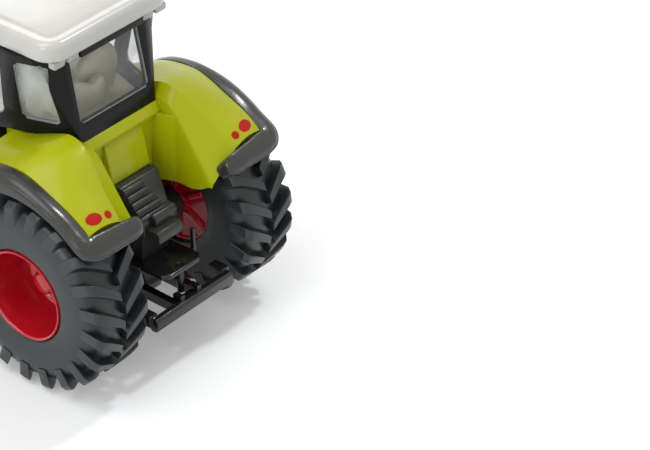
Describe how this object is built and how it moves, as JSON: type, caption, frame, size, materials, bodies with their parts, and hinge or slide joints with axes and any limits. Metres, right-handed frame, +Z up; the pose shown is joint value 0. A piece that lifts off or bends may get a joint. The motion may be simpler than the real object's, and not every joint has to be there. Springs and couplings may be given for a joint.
{
  "type": "toy tractor",
  "caption": "Die-cast toy farm tractor with glazed cab, rolling rear and front wheels, and a coupling pin with a swinging link below it for trailers.",
  "frame": {"origin": "on the ground, under the middle of the tractor's length and width", "axes": "+X to the tractor's left, +Y to its rear, +Z up"},
  "size_m": [0.0522, 0.1029, 0.064],
  "materials": {
    "chassis_metal": "satin dark grey paint on cast metal",
    "green_paint": "glossy lime green paint on cast metal",
    "black_plastic": "semi-gloss black moulded plastic",
    "steel": "plain steel wire",
    "red_plastic": "glossy red moulded plastic",
    "tyre_rubber": "matt dark grey soft rubber",
    "grey_plastic": "satin dark grey moulded plastic",
    "cab_plastic": "semi-gloss charcoal moulded plastic",
    "clear_plastic": "clear moulded plastic",
    "interior_plastic": "matt beige grey moulded plastic",
    "roof_plastic": "satin light grey moulded plastic",
    "lamp_plastic": "pale clear-looking moulded plastic"
  },
  "bodies": {
    "chassis": {"chassis": "chassis_metal", "transmission_housing": "chassis_metal", "coupling_plate": "black_plastic", "coupling_pin": "steel", "link_pivot_pin": "steel", "rear_body": "green_paint", "left_fender_trim": "grey_plastic", "right_fender_trim": "grey_plastic", "cab_frame": "cab_plastic", "cab_glazing": "clear_plastic", "cab_interior": "interior_plastic", "driver_seat": "interior_plastic", "passenger_seat": "interior_plastic", "steering_column": "black_plastic", "roof": "roof_plastic", "left_rear_outer_work_light": "lamp_plastic", "right_rear_outer_work_light": "lamp_plastic", "left_rear_inner_work_light": "lamp_plastic", "right_rear_inner_work_light": "lamp_plastic", "left_front_outer_work_light": "lamp_plastic", "right_front_outer_work_light": "lamp_plastic", "left_front_inner_work_light": "lamp_plastic", "right_front_inner_work_light": "lamp_plastic", "bonnet": "green_paint", "front_grille": "black_plastic", "left_headlight": "lamp_plastic", "right_headlight": "lamp_plastic", "front_coupling": "black_plastic", "exhaust_stack": "black_plastic", "left_mirror": "black_plastic", "right_mirror": "black_plastic", "left_fuel_tank": "grey_plastic", "right_fuel_tank": "grey_plastic", "left_steps": "black_plastic", "right_steps": "black_plastic"},
    "rear_wheelset": {"rear_axle": "steel", "left_rear_rim": "red_plastic", "left_rear_tyre": "tyre_rubber", "right_rear_rim": "red_plastic", "right_rear_tyre": "tyre_rubber"},
    "front_wheelset": {"front_axle": "steel", "left_front_rim": "red_plastic", "left_front_tyre": "tyre_rubber", "right_front_rim": "red_plastic", "right_front_tyre": "tyre_rubber"},
    "lower_link": {"lower_link": "black_plastic"}
  },
  "joints": [
    {"name": "rear_wheels_roll", "type": "hinge", "parent": "chassis", "child": "rear_wheelset", "pos_m": [0, 0.0325, 0.019], "axis": [1, 0, 0], "continuous": true},
    {"name": "front_wheels_roll", "type": "hinge", "parent": "chassis", "child": "front_wheelset", "pos_m": [0, -0.0271, 0.0142], "axis": [1, 0, 0], "continuous": true},
    {"name": "lower_link_tilt", "type": "hinge", "parent": "chassis", "child": "lower_link", "pos_m": [0, 0.0381, 0.0114], "axis": [-1, 0, 0], "range_deg": [0, 25]}
  ]
}
